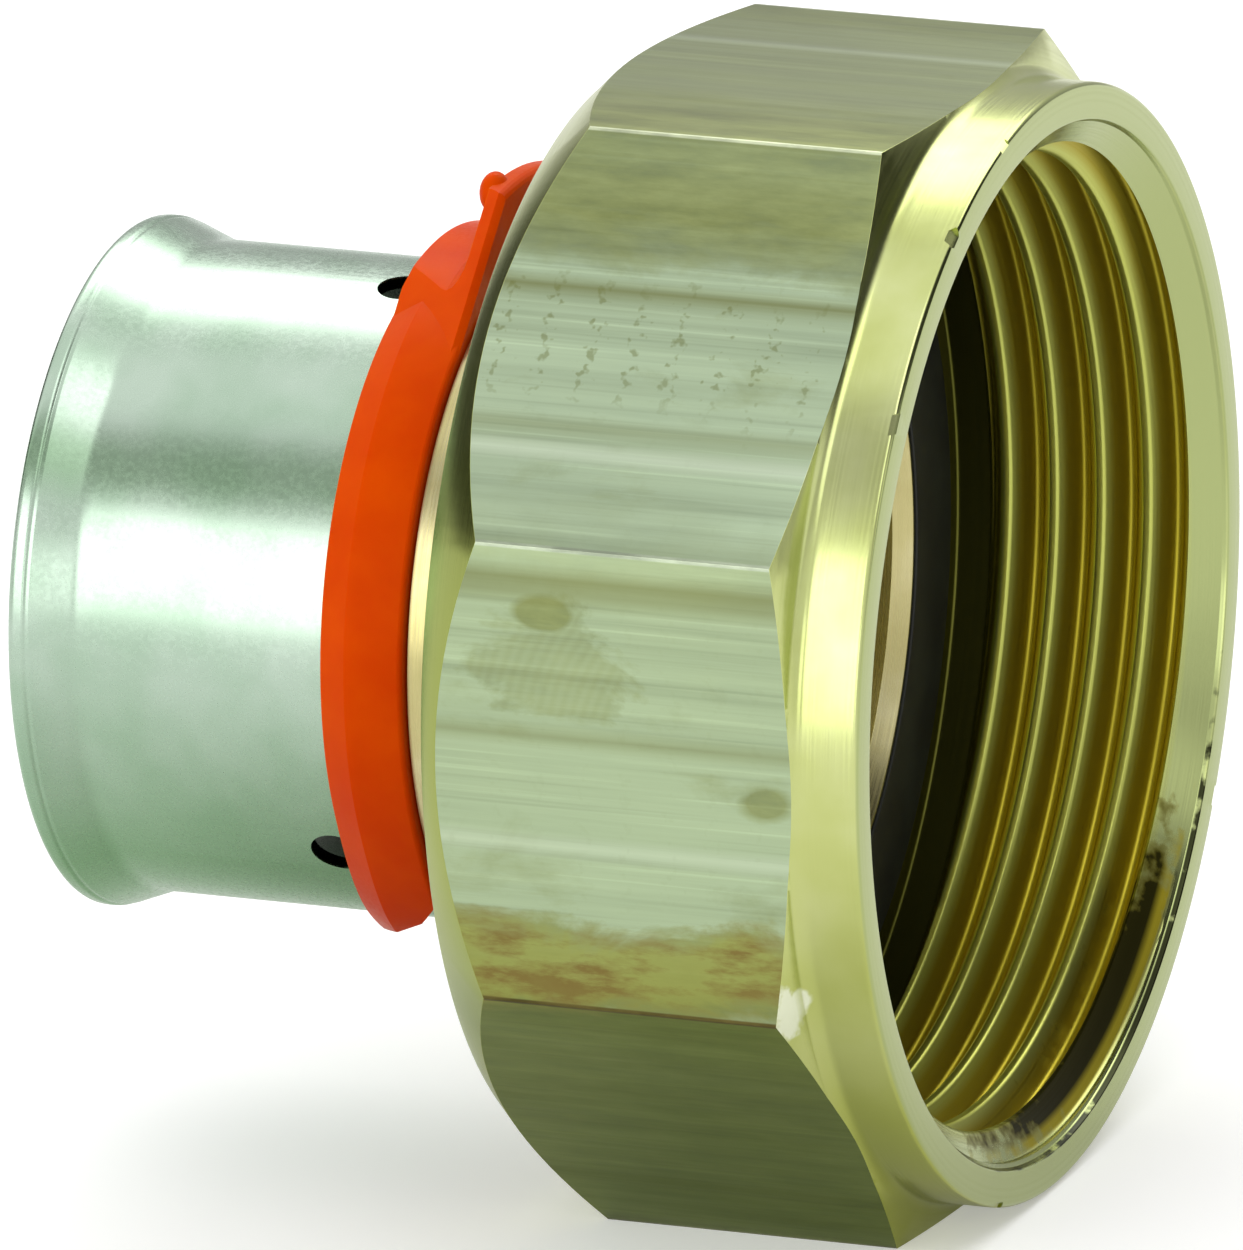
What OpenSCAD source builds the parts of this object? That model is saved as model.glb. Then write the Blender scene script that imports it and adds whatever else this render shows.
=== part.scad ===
// Straight adapter: press socket for a plastic tube at one end, swivel union nut at the other.
// Frame: X is the fitting's axis and +X leaves through the nut's mouth. X = 0 is where the
// nut's thread starts. +Z is up, and the nut lies on one of its flats. Units are millimetres.
// Angles round the axis are counted from +Y towards +Z.

/* [Standard sizes] */
// Major diameter of the union thread
thread_major_d = 47.8; // [44:0.1:52]
// Pitch of the union thread
thread_pitch = 2.309; // [1.5:0.001:2.5]
// Outside diameter of the tube
tube_outer_d = 28.6; // [27:0.1:30]
// Inside diameter of the tube
tube_inner_d = 22.2; // [21:0.1:23]

/* [Union nut] */
// Thickness of the nut outside the thread, at the middle of a flat
nut_side_wall = 2.1; // [1.6:0.1:5]
// Length from the rear face to the mouth
nut_len = 21.3; // [20.5:0.1:26]
// How far the round collar at the mouth stays inside the flats
collar_step = 0.2; // [0.1:0.05:0.6]
// Length of the round collar, from the mouth to the foot of the front chamfer
collar_len = 3.1; // [2:0.1:5]
// Angle between the front chamfer and the mouth face
front_chamfer_angle = 20; // [10:1:35]
// Radius of the hollow fillet at the foot of the collar
collar_fillet = 0.8; // [0.3:0.1:1.2]
// Width of the rear chamfer at the middle of a flat
rear_chamfer = 1.1; // [0.6:0.1:2]
// Width of the small chamfer round the mouth's outer edge
mouth_break = 0.25; // [0.1:0.05:0.6]
// Full turns of thread in the nut
thread_turns = 4; // [3:1:4]
// Height of the step from the thread's major diameter to the counterbore in the mouth
mouth_bore_step = 0.15; // [0.1:0.05:1.2]
// Depth of that counterbore
mouth_bore_depth = 0.3; // [0.2:0.1:1.5]
// Length of the cone between the counterbore and the thread
lead_in_len = 1.3; // [0.5:0.1:2]
// Length of the relief groove behind the thread
relief_len = 3.4; // [3:0.1:4.5]
// Depth of the relief groove past the thread's major diameter
relief_step = 0.2; // [0.1:0.05:0.4]
// Thickness of the nut's rear wall, which pulls on the collar
nut_wall = 3.3; // [2:0.1:4]

/* [Gasket] */
// Width of the gasket's flat ring
gasket_w = 4.65; // [3:0.05:5]
// Thickness of the gasket
gasket_t = 2; // [1:0.1:3]

/* [Tailpiece] */
// Thickness of the union collar
union_collar_t = 3; // [2:0.1:4]
// Wall of the nose that centres the gasket
nose_wall = 0.95; // [0.8:0.05:1.2]
// How far the nose stays behind the gasket's face
nose_recess = 0.1; // [0.05:0.05:0.5]
// Chamfer round the mouth of the nose's bore
nose_chamfer = 0.75; // [0.3:0.05:0.75]
// Depth of the straight bore inside the nose
nose_bore_depth = 2.8; // [1:0.1:3.5]
// Height of the spigot over the sleeve
spigot_step = 0.9; // [0.3:0.1:1]
// Length of the spigot that the nut slides on
spigot_len = 7.5; // [6:0.1:12]
// Length of the cone that opens the waterway towards the union
waterway_cone_len = 4.3; // [3:0.1:8]

/* [Insert nipple] */
// Height of the nipple's ribs
rib_h = 0.3; // [0.2:0.05:0.5]
// Wall of the nipple between its ribs
nipple_wall = 1.5; // [1.2:0.1:2.5]
// Thickness of the shoulder that stops the tube
stop_w = 1.6; // [1:0.1:2.4]
// Number of ribs
rib_count = 5; // [3:1:6]
// Distance from the nipple's end to the first rib
rib_start = 2.4; // [1.6:0.1:3]
// Distance from one rib to the next
rib_pitch = 2.2; // [1.8:0.1:2.4]
// Chamfer round the nipple's end
nipple_chamfer = 0.6; // [0.3:0.1:1]
// How far the nipple's end stays inside the sleeve's mouth
nipple_recess = 1.4; // [0.5:0.1:3]

/* [Press sleeve] */
// Thickness of the sleeve's steel
sleeve_t = 0.6; // [0.4:0.05:0.8]
// Length of the sleeve
sleeve_len = 17.9; // [17:0.1:24]
// How far the rolled mouth stands out
flare_h = 0.9; // [0.6:0.1:1.6]
// Length over which the mouth opens
flare_len = 3.2; // [2.4:0.1:4]
// Height of the lip that holds the sleeve in the tailpiece's groove
lip_h = 1.3; // [1:0.1:1.6]
// Depth of the tailpiece's groove that holds the lip
groove_depth = 0.5; // [0.3:0.05:0.8]
// Diameter of an inspection window
window_d = 2.6; // [2:0.1:3]
// Distance from the window's centre to the lip end of the sleeve
window_inset = 3.4; // [3.2:0.1:5]
// Number of inspection windows
window_count = 3; // [2:1:4]
// Angle of the first window
window_angle = 98; // [90:1:110]

/* [Control ring] */
// Thickness of the ring's band over the sleeve
ring_t = 1.4; // [1.2:0.1:2]
// Width of the ring along the axis
ring_w = 4.2; // [3.6:0.1:4.2]
// Width of the chamfer on the sleeve side
ring_chamfer_w = 1.4; // [0.5:0.05:1.8]
// Height of that chamfer
ring_chamfer_h = 0.7; // [0.3:0.05:0.8]
// Thickness of the ring's lip behind the sleeve's end
ring_lip_t = 1.6; // [1:0.1:1.8]
// Angle of the lower end, at the middle of the ring's width
ring_end_angle = 232; // [220:1:245]
// Width of the gap between the ring's ends, as an angle
ring_gap_angle = 67; // [55:1:90]
// Angle of the slanted ends to the axis
ring_slant = 55; // [20:1:60]
// Angle of the pull tab's middle
tab_angle = 84; // [80:1:95]
// Angle from the tab's middle to where each of its flat flanks leaves the ring
tab_half_angle = 48; // [40:1:50]
// Tilt of the flanks, which fall away towards the sleeve
tab_tilt = 20; // [10:1:25]
// Height of the tab's shoulder over the band
tab_shoulder_h = 0.5; // [0.2:0.1:1]
// Height of the pull tab's rim over the band
tab_h = 3.5; // [2.5:0.1:4.5]
// Thickness of the pull tab's rim
tab_t = 0.95; // [0.7:0.05:1.3]
// Radius of the hollow between the shoulder and the rim
tab_fillet = 1; // [0.5:0.1:1.4]
// Radius of the nub at the tab's corner
nub_r = 0.7; // [0.5:0.05:1]
// Length of the nub along the axis
nub_len = 1.3; // [0.8:0.1:2]
// Angle from the tab's middle to the nub
nub_offset = 8; // [4:1:12]

/* [Clearances] */
// Clearance between the gasket and the thread that it is put in through
gasket_clearance = 0.62; // [0.3:0.01:1]
// Clearance between the union collar and the thread that it is put in through
union_clearance = 0.82; // [0.3:0.01:1.2]
// Clearance between the spigot and the hole in the nut's rear wall
spigot_clearance = 0.3; // [0.2:0.05:0.5]
// Clearance between the tube and the sleeve
tube_clearance = 0.2; // [0.1:0.05:0.4]
// Clearance between the tube's shoulder and the sleeve
stop_clearance = 0.15; // [0.1:0.05:0.3]
// Running clearance of faces and edges that turn against each other
running = 0.08; // [0.05:0.01:0.1]
// Clearance between the ring's lip and the tailpiece's land
ring_clearance = 0.3; // [0.2:0.05:0.4]
// Clearance of the ring on the sleeve
snap = 0.03; // [0.01:0.01:0.1]

/* [Hidden] */
$fn = 96;
edge = 0.3;
sliver = 0.01;
far = 60;

// Union nut, from the mouth to the rear
thread_minor_d = thread_major_d - 2 * 0.6403 * thread_pitch;
nut_af = thread_major_d + 2 * nut_side_wall;
corner_r = nut_af / 2 / cos(22.5);
mouth_x = mouth_bore_depth + lead_in_len;
relief_x = -thread_turns * thread_pitch;
relief_end_x = relief_x - relief_len;
rear_x = mouth_x - nut_len;
shoulder_x = rear_x + nut_wall;
collar_foot_x = mouth_x - collar_len;

// Gasket and tailpiece, from the union collar to the flange
gasket_d = thread_minor_d - 2 * gasket_clearance;
gasket_hole_d = gasket_d - 2 * gasket_w;
union_collar_d = thread_minor_d - 2 * union_clearance;
collar_back_x = shoulder_x + running;
collar_front_x = collar_back_x + union_collar_t;
gasket_back_x = collar_front_x + running;
seal_x = gasket_back_x + gasket_t;
nose_x = seal_x - nose_recess;
nose_d = gasket_hole_d - 2 * running;
nose_bore_d = nose_d - 2 * nose_wall;
flange_x = collar_back_x - spigot_len;
waterway_x = nose_x - nose_bore_depth - waterway_cone_len;

// Sleeve, nipple and ring
sleeve_d = tube_outer_d + 2 * tube_clearance + 2 * sleeve_t;
spigot_d = sleeve_d + 2 * spigot_step;
rib_d = tube_inner_d;
nipple_d = rib_d - 2 * rib_h;
waterway_d = nipple_d - 2 * nipple_wall;
lip_d = sleeve_d - 2 * sleeve_t - 2 * lip_h;
groove_d = lip_d - 2 * running;
land_d = groove_d + 2 * groove_depth;
stop_d = sleeve_d - 2 * sleeve_t - 2 * stop_clearance;
ring_d = sleeve_d + 2 * ring_t;
ring_x = flange_x - running;
ring_back_x = ring_x - ring_w;
sleeve_x = ring_x - ring_lip_t - snap;
sleeve_mouth_x = sleeve_x - sleeve_len;
window_x = sleeve_x - window_inset;
groove_x = sleeve_x + running;
groove_end_x = sleeve_x - sleeve_t - running;
stop_x = groove_end_x - stop_w;
nipple_x = sleeve_mouth_x + nipple_recess;

// Points on a round stretch of a profile, where a profile point is [radius, x]
function arc(centre, r, from, to, steps = 8) =
    [for (i = [0:steps]) let (a = from + (to - from) * i / steps)
        [centre[0] + r * cos(a), centre[1] + r * sin(a)]];

// A profile of [radius, x] points turned round the X axis, from one angle over a sweep
module turned(profile, from = 0, sweep = 360) {
    rotate([0, 90, 0])
        rotate([0, 0, from + 90])
            rotate_extrude(angle = sweep)
                polygon(profile);
}

// What stands at one angle round the axis: local Y points out from the axis, local Z is
// tangential and X stays the axis
module at_angle(angle) {
    rotate([angle, 0, 0])
        children();
}

// ---- union nut ----

// Round envelope of the nut: rear face and chamfer, front chamfer, fillet and mouth collar
function nut_envelope() =
    let (collar_r = nut_af / 2 - collar_step,
         rear_r = nut_af / 2 - rear_chamfer,
         slope = tan(front_chamfer_angle),
         tip = collar_fillet * tan((90 - front_chamfer_angle) / 2),
         out = corner_r + 1)
    concat(
        [[0, rear_x], [rear_r, rear_x], [out, rear_x + out - rear_r],
         [out, collar_foot_x - (out - collar_r) * slope]],
        arc([collar_r + collar_fillet, collar_foot_x + tip], collar_fillet,
            270 - front_chamfer_angle, 180, 6),
        [[collar_r, mouth_x - mouth_break], [collar_r - mouth_break, mouth_x], [0, mouth_x]]);

// Inside of the nut: mouth counterbore, lead-in cone, thread at its minor diameter, relief
// groove, collar chamber and the hole for the spigot
function nut_cavity() =
    let (minor_r = thread_minor_d / 2,
         mouth_r = thread_major_d / 2 + mouth_bore_step,
         relief_r = thread_major_d / 2 + relief_step,
         flank = (relief_r - minor_r) / 2,
         hole_r = spigot_d / 2 + spigot_clearance,
         past = 1)
    [[0, mouth_x + past], [mouth_r, mouth_x + past], [mouth_r, mouth_x - mouth_bore_depth],
     [minor_r, 0], [minor_r, relief_x], [relief_r, relief_x - flank],
     [relief_r, relief_end_x + flank], [minor_r, relief_end_x], [minor_r, shoulder_x],
     [hole_r, shoulder_x], [hole_r, rear_x - past], [0, rear_x - past]];

module union_nut() {
    color("darkkhaki")
        difference() {
            intersection() {
                translate([rear_x, 0, 0])
                    rotate([0, 90, 0])
                        rotate([0, 0, 22.5])
                            cylinder(r = corner_r, h = nut_len, $fn = 8);
                turned(nut_envelope());
            }
            turned(nut_cavity());
        }
}

// ---- gasket ----

module gasket() {
    color("black")
        turned([[gasket_hole_d / 2, gasket_back_x], [gasket_d / 2, gasket_back_x],
                [gasket_d / 2, seal_x], [gasket_hole_d / 2, seal_x]]);
}

// ---- tailpiece ----

// One sawtooth rib of the nipple, with its steep side towards the stop
function rib(x) = [[nipple_d / 2, x - rib_pitch / 2], [rib_d / 2, x], [nipple_d / 2, x + sliver]];

function nipple_ribs() =
    [for (i = [0:rib_count - 1]) each rib(nipple_x + rib_start + i * rib_pitch)];

module tailpiece() {
    collar_r = union_collar_d / 2;
    spigot_r = spigot_d / 2;
    color("peru")
        turned(concat(
            [[waterway_d / 2, nipple_x], [nipple_d / 2 - nipple_chamfer, nipple_x],
             [nipple_d / 2, nipple_x + nipple_chamfer]],
            nipple_ribs(),
            [[nipple_d / 2, stop_x], [stop_d / 2, stop_x], [stop_d / 2, groove_end_x],
             [groove_d / 2, groove_end_x], [groove_d / 2, groove_x],
             [land_d / 2, groove_x], [land_d / 2, flange_x],
             [spigot_r - edge, flange_x], [spigot_r, flange_x + edge], [spigot_r, collar_back_x],
             [collar_r - edge, collar_back_x], [collar_r, collar_back_x + edge],
             [collar_r, collar_front_x - edge], [collar_r - edge, collar_front_x],
             [nose_d / 2, collar_front_x], [nose_d / 2, nose_x],
             [nose_bore_d / 2 + nose_chamfer, nose_x], [nose_bore_d / 2, nose_x - nose_chamfer],
             [nose_bore_d / 2, nose_x - nose_bore_depth], [waterway_d / 2, waterway_x]]));
}

// ---- press sleeve ----

// Curve of the sleeve's opening mouth, from the straight part outwards, for a face that lies
// inset below the outside
function flare_curve(inset) =
    let (bend = (pow(flare_len, 2) + pow(flare_h, 2)) / (2 * flare_h),
         turn = asin(flare_len / bend))
    arc([sleeve_d / 2 - inset + bend, sleeve_mouth_x + flare_len], bend, 180, 180 + turn);

module press_sleeve() {
    outer = flare_curve(0);
    inner_r = sleeve_d / 2 - sleeve_t;
    color("silver")
        difference() {
            turned(concat(
                [for (i = [len(outer) - 1:-1:0]) outer[i]],
                [[sleeve_d / 2, sleeve_x - edge], [sleeve_d / 2 - edge, sleeve_x], [lip_d / 2, sleeve_x],
                 [lip_d / 2, sleeve_x - sleeve_t], [inner_r, sleeve_x - sleeve_t]],
                flare_curve(sleeve_t)));
            for (i = [0:window_count - 1])
                at_angle(window_angle + i * 360 / window_count)
                    translate([window_x, 0, 0])
                        rotate([-90, 0, 0])
                            cylinder(d = window_d, h = far);
        }
}

// ---- control ring ----

// The stretch of band past one slanted end; side is 1 past the larger angle and -1 past the smaller
module past_end(angle, side) {
    reach = 38;
    at_angle(angle)
        translate([(ring_x + ring_back_x) / 2, ring_d / 2 * cos(reach), 0])
            rotate([0, side * ring_slant, 0])
                translate([-far / 2, 0, side > 0 ? 0 : -far / 2])
                    cube(far / 2 * [2, 1, 1]);
}

// The C-shaped band, with a lip that reaches in behind the sleeve's end
module ring_band() {
    r = ring_d / 2;
    bore = sleeve_d / 2 + snap;
    lip = land_d / 2 + ring_clearance;
    lip_x = sleeve_x + snap;
    margin = 30;
    from = ring_end_angle + ring_gap_angle - 360;
    difference() {
        turned([[bore, ring_back_x], [r - ring_chamfer_h, ring_back_x], [r, ring_back_x + ring_chamfer_w],
                [r, ring_x - edge], [r - edge, ring_x], [lip, ring_x], [lip, lip_x], [bore, lip_x]],
               from - margin / 2, ring_end_angle - from + margin);
        past_end(ring_end_angle, 1);
        past_end(from, -1);
    }
}

// Keeps what lies inside one flat flank of the tab; side is 1 at the larger angle and -1 at the smaller
module inside_flank(side) {
    at_angle(tab_angle + side * tab_half_angle)
        translate([ring_x, ring_d / 2 - edge / 2, 0])
            rotate([0, 0, tab_tilt])
                translate([-far / 2, -far, -far / 2])
                    cube(far);
}

// The raised pull tab: a sloping shoulder, a hollow and a thin rim, cut off by two flat flanks
module pull_tab() {
    root_r = ring_d / 2 - ring_chamfer_h;
    shoulder_r = ring_d / 2 + tab_shoulder_h;
    tab_r = ring_d / 2 + tab_h;
    face_x = ring_x - tab_t;
    intersection() {
        turned(concat(
            [[root_r, ring_back_x], [shoulder_r - ring_chamfer_h, ring_back_x],
             [shoulder_r, ring_back_x + edge]],
            arc([shoulder_r + tab_fillet, face_x - tab_fillet], tab_fillet, 180, 90, 6),
            [[tab_r, face_x], [tab_r, ring_x], [root_r, ring_x]]),
            tab_angle - tab_half_angle, 2 * tab_half_angle);
        inside_flank(1);
        inside_flank(-1);
    }
    at_angle(tab_angle + nub_offset)
        translate([face_x + tab_t / 2 - nub_len, tab_r - nub_r / 2, 0])
            rotate([0, 90, 0])
                cylinder(r = nub_r, h = nub_len);
}

module control_ring() {
    color("orangered")
        union() {
            ring_band();
            pull_tab();
        }
}

union_nut();
gasket();
tailpiece();
press_sleeve();
control_ring();
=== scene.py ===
"""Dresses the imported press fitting: a tube socket with a swivel union nut.

Lengths are in millimetres until a mesh is made, X is the fitting's axis and +X leaves through the
nut's mouth. Angles round the axis are counted from +Y towards +Z, in degrees.
"""
import math

import bmesh
import bpy
from mathutils import Matrix, Vector


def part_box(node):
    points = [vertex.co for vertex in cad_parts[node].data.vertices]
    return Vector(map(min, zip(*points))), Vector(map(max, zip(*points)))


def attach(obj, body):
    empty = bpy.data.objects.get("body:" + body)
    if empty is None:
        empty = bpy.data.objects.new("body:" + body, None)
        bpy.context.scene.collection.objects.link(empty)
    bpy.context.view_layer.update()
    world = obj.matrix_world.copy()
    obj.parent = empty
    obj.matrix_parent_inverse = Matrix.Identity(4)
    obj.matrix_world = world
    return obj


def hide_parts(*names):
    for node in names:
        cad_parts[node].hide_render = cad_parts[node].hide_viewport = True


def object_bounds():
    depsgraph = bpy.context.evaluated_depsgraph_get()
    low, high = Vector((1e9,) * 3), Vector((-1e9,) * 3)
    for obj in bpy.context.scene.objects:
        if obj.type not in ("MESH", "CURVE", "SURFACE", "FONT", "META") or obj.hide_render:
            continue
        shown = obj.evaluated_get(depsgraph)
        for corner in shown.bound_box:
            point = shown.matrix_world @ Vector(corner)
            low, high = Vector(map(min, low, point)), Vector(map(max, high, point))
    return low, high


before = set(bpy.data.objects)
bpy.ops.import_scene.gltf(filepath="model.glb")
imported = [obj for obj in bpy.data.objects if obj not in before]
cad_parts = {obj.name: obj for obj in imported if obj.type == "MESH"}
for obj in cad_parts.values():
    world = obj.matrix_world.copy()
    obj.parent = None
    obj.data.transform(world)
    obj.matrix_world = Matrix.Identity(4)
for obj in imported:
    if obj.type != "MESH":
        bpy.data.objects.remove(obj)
cad_low, cad_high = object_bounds()

MM = 0.001
STEPS = 192  # segments in a full turn


# ---------------------------------------------------------------- sizes, from the frame

def span_x(solid):
    """Where a solid of the frame starts and ends along the axis."""
    low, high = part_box(solid)
    return low.x / MM, high.x / MM


def outer_radius(solid):
    """How far a solid of the frame reaches from the axis."""
    low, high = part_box(solid)
    return max(-low.y, high.y, -low.z, high.z) / MM


rear_x, mouth_x = span_x("union_nut")
gasket_back_x, seal_x = span_x("gasket")
nipple_x, nose_x = span_x("tailpiece")
sleeve_mouth_x, sleeve_x = span_x("press_sleeve")
ring_back_x, ring_x = span_x("control_ring")

flat_r = outer_radius("union_nut")
gasket_r = outer_radius("gasket")
union_collar_r = outer_radius("tailpiece")
flare_r = outer_radius("press_sleeve")

play = 0.08  # between pieces that turn or slide on each other
eased = 0.09  # how wide the sharp edges of the nut and the ring are rounded

# The nut's thread has flanks 55 degrees apart, starts at the origin and runs four turns deep to
# the relief groove; one of its crests stands at thread_phase_x at angle 0
thread_pitch = 2.309
thread_major_r = 23.9
thread_minor_r = thread_major_r - 0.6403 * thread_pitch
thread_half_angle = 27.5
thread_rounding = 0.1373 * thread_pitch
thread_phase_x = 0.46
relief_start_x = -4 * thread_pitch
relief_end_x = relief_start_x - 3.4
relief_r = thread_major_r + 0.2
relief_slope_x = 0.84
nut_wall = 3.3
shoulder_x = rear_x + nut_wall
collar_r = flat_r - 0.2
collar_foot_x = mouth_x - 3.1
mouth_bore_r = thread_major_r + 0.15
mouth_bore_depth = 0.3

gasket_hole_r = gasket_r - 4.65
collar_back_x = shoulder_x + play
collar_front_x = gasket_back_x - play
nose_r = gasket_hole_r - play
nose_bore_r = nose_r - 0.95
waterway_r = 9.3
spigot_r = 16.0
flange_x = ring_x + play

sleeve_r = flare_r - 0.9
sleeve_t = 0.6
lip_r = sleeve_r - sleeve_t - 1.3
groove_r = lip_r - play
groove_back_x = sleeve_x - sleeve_t - play
groove_front_x = sleeve_x + play
land_r = groove_r + 0.5
stop_r = sleeve_r - sleeve_t - 0.15
stop_x = groove_back_x - 1.6
rib_r = 11.1
rib_pitch = 2.2
first_rib = 2.4
nipple_r = rib_r - 0.3
window_x = sleeve_x - 3.4
window_r = 1.3
window_angles = (98, 218, 338)

ring_r = sleeve_r + 1.4
ring_end_angle = 232
ring_other_end_angle = ring_end_angle + 67 - 360
ring_slant = 55
tab_angle = 84
tab_half_angle = 48
tab_tilt = 20
tab_r = ring_r + 3.5
tab_t = 0.95
nub_r = 0.7


# ---------------------------------------------------------------- hand tools

def deselect():
    if bpy.context.mode != "OBJECT":
        bpy.ops.object.mode_set(mode="OBJECT")
    bpy.ops.object.select_all(action="DESELECT")


def pick(piece):
    """Makes a piece the only selected and active object."""
    deselect()
    piece.select_set(True)
    bpy.context.view_layer.objects.active = piece


def radial(angle, radius=1.0, x=0.0):
    """The point at one angle round the axis."""
    turn = math.radians(angle)
    return Vector((x, radius * math.cos(turn), radius * math.sin(turn)))


def soft(corners, segments=5):
    """Rounds a closed outline: a corner is (x, r), or (x, r, radius) where it is rounded."""
    outline = []
    count = len(corners)
    for i, corner in enumerate(corners):
        here = Vector(corner[:2])
        if len(corner) < 3:
            outline.append(here)
            continue
        back = (Vector(corners[i - 1][:2]) - here).normalized()
        ahead = (Vector(corners[(i + 1) % count][:2]) - here).normalized()
        half = back.angle(ahead) / 2
        reach = corner[2] / math.tan(half)
        centre = here + (back + ahead).normalized() * (corner[2] / math.sin(half))
        start = here + back * reach - centre
        turn = start.angle_signed(here + ahead * reach - centre)
        for step in range(segments + 1):
            spoke = Matrix.Rotation(-turn * step / segments, 2) @ start
            outline.append(centre + spoke)
    return outline


def draw(name, outline, angle=90, closed=True):
    """A wire of (x, r) points, drawn at one angle round the axis by extruding a vertex."""
    points = [radial(angle, r, x) * MM for x, r in outline]
    deselect()
    bpy.ops.mesh.primitive_circle_add(vertices=3, radius=MM)
    wire = bpy.context.object
    wire.name = name
    wire.data.name = name
    bpy.ops.object.mode_set(mode="EDIT")
    bpy.ops.mesh.merge(type="CENTER")
    bpy.ops.transform.translate(value=points[0])
    for here, there in zip(points, points[1:]):
        bpy.ops.mesh.extrude_region_move(TRANSFORM_OT_translate={"value": there - here})
    if closed:
        mesh = bmesh.from_edit_mesh(wire.data)
        mesh.verts.ensure_lookup_table()
        mesh.verts[0].select = True
        mesh.verts[-1].select = True
        bmesh.update_edit_mesh(wire.data)
        bpy.ops.mesh.edge_face_add()
    bpy.ops.object.mode_set(mode="OBJECT")
    return wire


def clean(piece):
    """Merges what coincides and turns every face outwards."""
    pick(piece)
    bpy.ops.object.mode_set(mode="EDIT")
    bpy.ops.mesh.select_all(action="SELECT")
    bpy.ops.mesh.remove_doubles(threshold=0.0005 * MM)
    bpy.ops.mesh.normals_make_consistent(inside=False)
    bpy.ops.object.mode_set(mode="OBJECT")


def turn(name, outline, start=90, sweep=360):
    """A closed outline turned about the axis, with its ends closed if it stops short."""
    piece = draw(name, outline, start)
    bpy.ops.object.mode_set(mode="EDIT")
    bpy.ops.mesh.select_all(action="SELECT")
    if sweep < 360:
        bpy.ops.mesh.edge_face_add()
    steps = max(4, round(STEPS * sweep / 360))
    bpy.ops.mesh.spin(steps=steps, angle=math.radians(sweep), center=(0, 0, 0), axis=(-1, 0, 0))
    clean(piece)
    return piece


def cut(piece, point, normal):
    """Saws a piece off at a plane and closes the cut; the side that the normal points to goes."""
    pick(piece)
    bpy.ops.object.mode_set(mode="EDIT")
    bpy.ops.mesh.select_all(action="SELECT")
    bpy.ops.mesh.bisect(plane_co=Vector(point) * MM, plane_no=normal, threshold=0.0001 * MM,
                        use_fill=True, clear_outer=True)
    bpy.ops.object.mode_set(mode="OBJECT")


def apply(piece, kind, **settings):
    """Adds a modifier, sets it and applies it."""
    pick(piece)
    modifier = piece.modifiers.new(kind.lower(), kind)
    for key, value in settings.items():
        setattr(modifier, key, value)
    bpy.ops.object.modifier_apply(modifier=modifier.name)


def combine(piece, tool, operation):
    """Adds a second piece to the first or cuts it away, and removes the second."""
    apply(piece, "BOOLEAN", object=tool, operation=operation, solver="EXACT")
    bpy.data.objects.remove(tool)


def mill(piece, point, normal, size=12):
    """Mills a flat into a piece: takes away a cube that lies on a plane, on its normal's side."""
    deselect()
    way = Vector(normal).normalized()
    bpy.ops.mesh.primitive_cube_add(
        size=size * MM, location=(Vector(point) + way * size / 2) * MM,
        rotation=way.to_track_quat("Z", "X").to_euler())
    combine(piece, bpy.context.object, "DIFFERENCE")


def ease(piece, width, angle=30, segments=2):
    """Rounds every edge sharper than an angle."""
    apply(piece, "BEVEL", width=width * MM, segments=segments, limit_method="ANGLE",
          angle_limit=math.radians(angle), use_clamp_overlap=True)


def ease_edges(piece, width, chosen, segments=2):
    """Rounds the edges that are chosen by their two faces and their middle."""
    pick(piece)
    bpy.ops.object.mode_set(mode="EDIT")
    bpy.ops.mesh.select_all(action="DESELECT")
    mesh = bmesh.from_edit_mesh(piece.data)
    for edge in mesh.edges:
        middle = (edge.verts[0].co + edge.verts[1].co) / 2 / MM
        if chosen(edge.link_faces[0], edge.link_faces[1], middle):
            edge.select = True
    bmesh.update_edit_mesh(piece.data)
    bpy.ops.mesh.bevel(offset=width * MM, segments=segments, affect="EDGES", clamp_overlap=True)
    bpy.ops.object.mode_set(mode="OBJECT")


def smooth(piece, angle=35):
    """Shades a piece smooth, except across edges sharper than an angle."""
    pick(piece)
    bpy.ops.object.shade_smooth_by_angle(angle=math.radians(angle))


# ---------------------------------------------------------------- finishes

def colour(hexa):
    """An sRGB hex colour as the linear one that a socket takes."""
    parts = [int(hexa[i:i + 2], 16) / 255 for i in (0, 2, 4)]
    linear = [v / 12.92 if v <= 0.04045 else ((v + 0.055) / 1.055) ** 2.4 for v in parts]
    return (*linear, 1.0)


def connect(tree, made, inputs):
    """Gives a node's sockets their values or links. A node stands for its own first output."""
    for key, value in inputs.items():
        if isinstance(value, bpy.types.Node):
            value = next(output for output in value.outputs if output.enabled)
        if isinstance(value, bpy.types.NodeSocket):
            tree.links.new(value, made.inputs[key])
        else:
            made.inputs[key].default_value = value


def node(tree, kind, inputs=None, stops=None, **settings):
    """Adds one shader node: settings are its properties, inputs its socket values or links, and
    stops the places and colours of a colour ramp."""
    made = tree.nodes.new("ShaderNode" + kind)
    for key, value in settings.items():
        setattr(made, key, value)
    connect(tree, made, inputs or {})
    if stops:
        elements = made.color_ramp.elements
        while len(elements) < len(stops):
            elements.new(1.0)
        for element, (place, shade) in zip(elements, stops):
            element.position = place
            element.color = colour(shade) if isinstance(shade, str) else (shade, shade, shade, 1)
    return made


def new_finish(name, metallic, roughness):
    """A material with its shader's own sockets set."""
    material = bpy.data.materials.new(name)
    material.use_nodes = True
    tree = material.node_tree
    shader = tree.nodes["Principled BSDF"]
    connect(tree, shader, {"Metallic": metallic, "Roughness": roughness})
    return material, tree, shader


def point_in_mm(tree):
    """Where the surface is, as a point in millimetres."""
    place = node(tree, "TexCoord").outputs["Object"]
    return node(tree, "VectorMath", {0: place, "Scale": 1 / MM}, operation="SCALE")


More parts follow.
